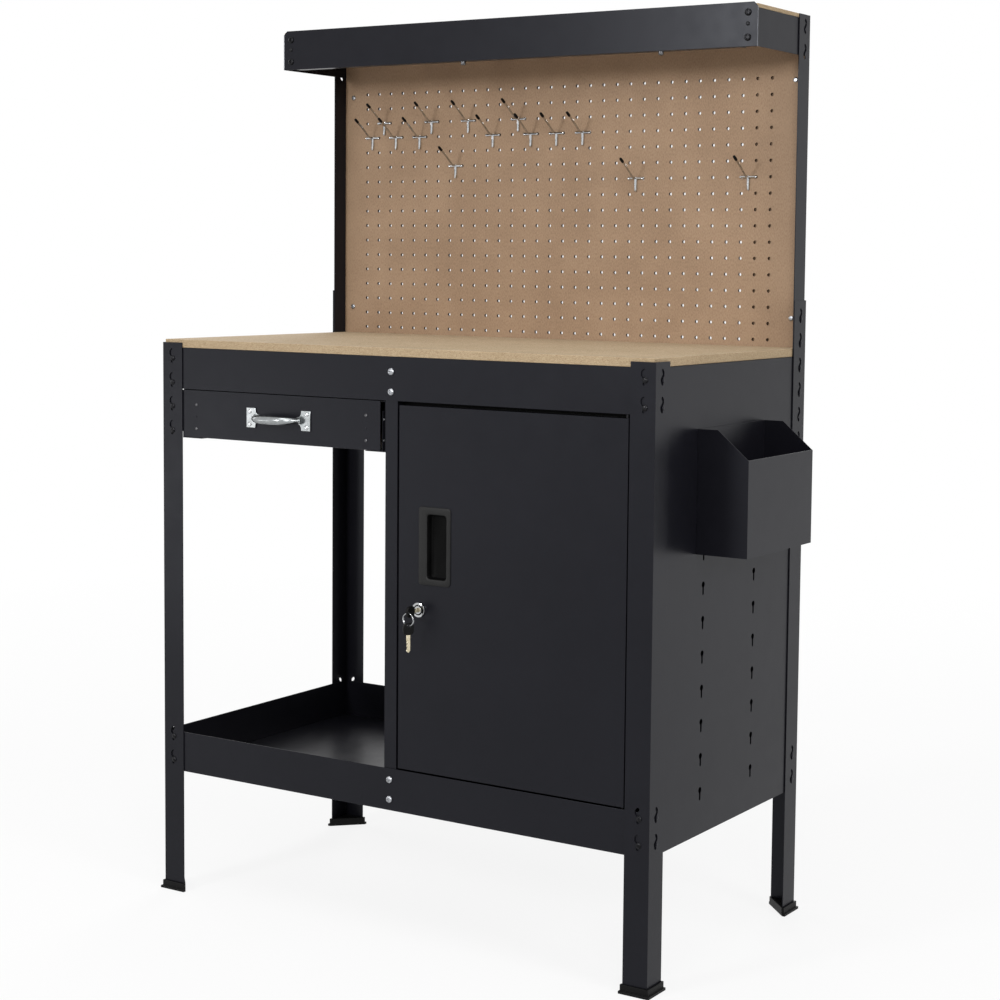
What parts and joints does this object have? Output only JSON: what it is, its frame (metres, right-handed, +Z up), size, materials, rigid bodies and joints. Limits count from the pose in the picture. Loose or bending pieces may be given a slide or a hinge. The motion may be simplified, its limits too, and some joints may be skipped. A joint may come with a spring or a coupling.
{
  "type": "workbench with cabinet",
  "caption": "Steel workbench with a particle-board top, a drawer, a lockable cabinet door, an open lower tray, a pegboard back with a top shelf, and a hang-on side bin.",
  "frame": {"origin": "centre of the object's footprint, on the floor", "axes": "+Z up, +X to the right seen from the front, front of the bench towards -Y"},
  "size_m": [0.985, 0.5128, 1.4045],
  "materials": {
    "powder_coat": "satin black powder coat with a fine orange peel",
    "black_plastic": "matte moulded plastic",
    "particle_board": "bare sanded particle board",
    "hardboard": "smooth brown hardboard with punched holes",
    "zinc": "bright zinc plate",
    "chrome": "polished chrome",
    "black_steel": "blackened steel"
  },
  "bodies": {
    "frame": {"leg_front_left": "powder_coat", "leg_front_right": "powder_coat", "leg_rear_left": "powder_coat", "leg_rear_right": "powder_coat", "foot_front_left": "black_plastic", "foot_front_right": "black_plastic", "foot_rear_left": "black_plastic", "foot_rear_right": "black_plastic", "post_left": "powder_coat", "post_right": "powder_coat", "apron_front": "powder_coat", "apron_rear": "powder_coat", "apron_left": "powder_coat", "beam_lower_front": "powder_coat", "beam_lower_rear": "powder_coat", "beam_lower_left": "powder_coat", "lower_shelf": "powder_coat", "side_panel_right": "powder_coat", "middle_post": "powder_coat", "post_bolt_1": "zinc", "post_bolt_2": "zinc", "post_bolt_3": "zinc", "post_bolt_4": "zinc", "post_nut_1": "zinc", "post_nut_2": "zinc", "post_nut_3": "zinc", "post_nut_4": "zinc", "cabinet_divider": "powder_coat", "cabinet_back": "powder_coat", "worktop": "particle_board", "pegboard": "hardboard", "shelf_fascia": "powder_coat", "shelf_side_left": "powder_coat", "shelf_side_right": "powder_coat", "shelf_rear_rail": "powder_coat", "shelf_board": "particle_board", "pivot_bracket": "powder_coat", "runner_left": "powder_coat", "runner_right": "powder_coat"},
    "door": {"door": "powder_coat", "door_pull": "black_plastic", "door_pin_top": "black_steel", "door_pin_bottom": "black_steel", "lock_barrel": "chrome", "lock_nut": "zinc"},
    "lock": {"lock_plug": "chrome", "lock_cam": "zinc", "key": "black_steel"},
    "key_ring": {"key_ring": "chrome"},
    "spare_key": {"spare_key": "black_steel"},
    "drawer": {"drawer_front": "powder_coat", "drawer_side_left": "powder_coat", "drawer_side_right": "powder_coat", "drawer_bottom": "powder_coat", "drawer_back": "powder_coat", "drawer_handle": "zinc"},
    "bin": {"side_bin": "powder_coat"}
  },
  "joints": [
    {"name": "door_hinge", "type": "hinge", "parent": "frame", "child": "door", "pos_m": [0.3662, -0.21426, 0.53], "axis": [0, 0, 1], "range_deg": [0, 100]},
    {"name": "lock_turn", "type": "hinge", "parent": "door", "child": "lock", "pos_m": [0.0175, -0.2236, 0.507], "axis": [0, 1, 0], "range_deg": [-90, 0]},
    {"name": "ring_swing", "type": "hinge", "parent": "lock", "child": "key_ring", "pos_m": [0.0175, -0.24656, 0.5052], "axis": [1, 0, 0], "range_deg": [-60, 8]},
    {"name": "spare_key_swing", "type": "hinge", "parent": "key_ring", "child": "spare_key", "pos_m": [0.0175, -0.24656, 0.4872], "axis": [1, 0, 0], "range_deg": [-20, 8]},
    {"name": "drawer_slide", "type": "slide", "parent": "frame", "child": "drawer", "axis": [0, -1, 0], "range_m": [0, 0.3]},
    {"name": "bin_lift", "type": "slide", "parent": "frame", "child": "bin", "axis": [0, 0, 1], "range_m": [0, 0.012]}
  ]
}
